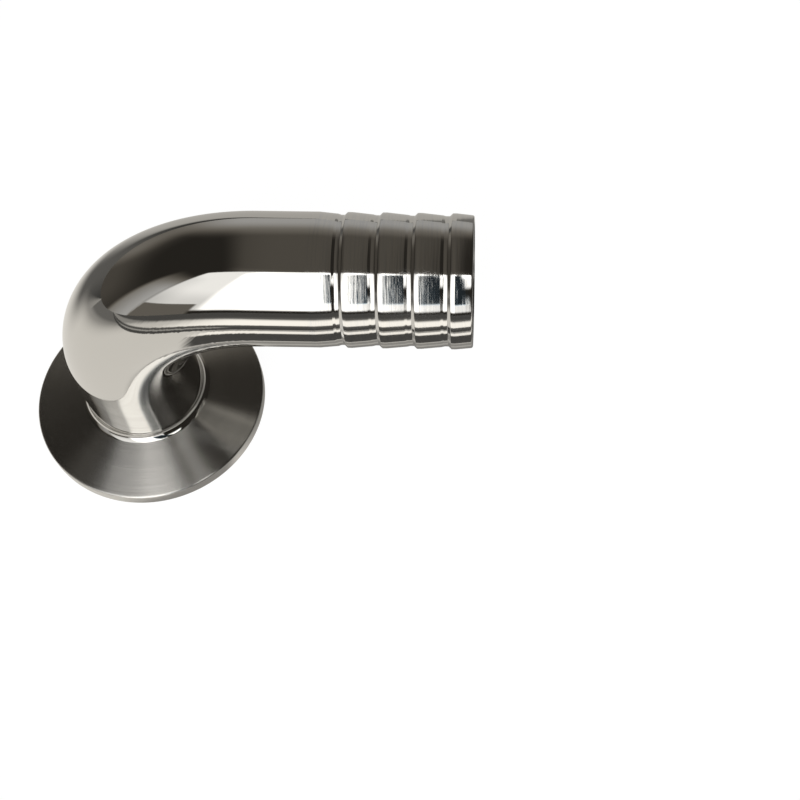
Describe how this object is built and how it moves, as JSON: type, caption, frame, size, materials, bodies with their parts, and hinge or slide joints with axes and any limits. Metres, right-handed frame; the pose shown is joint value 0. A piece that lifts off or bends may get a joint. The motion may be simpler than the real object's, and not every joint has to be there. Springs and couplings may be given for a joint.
{
  "type": "hose barb elbow",
  "caption": "Polished stainless steel pipe elbow with a sanitary clamp ferrule at one end and a hose barb at the other, turning the flow through a right angle.",
  "frame": {"origin": "centre of the ferrule's mating face, on the axis of its bore", "axes": "+Z along the ferrule's axis, up the neck; +X along the barbed arm, towards the hose; the part is symmetric across Y"},
  "size_m": [0.0983, 0.0506, 0.0644],
  "materials": {
    "turned_steel": "fine turned stainless steel, nearly mirror bright",
    "polished_steel": "mirror polished stainless steel, finely turned at the barbs"
  },
  "bodies": {
    "root": {"clamp_ferrule": "turned_steel", "barbed_elbow": "polished_steel"}
  },
  "joints": []
}
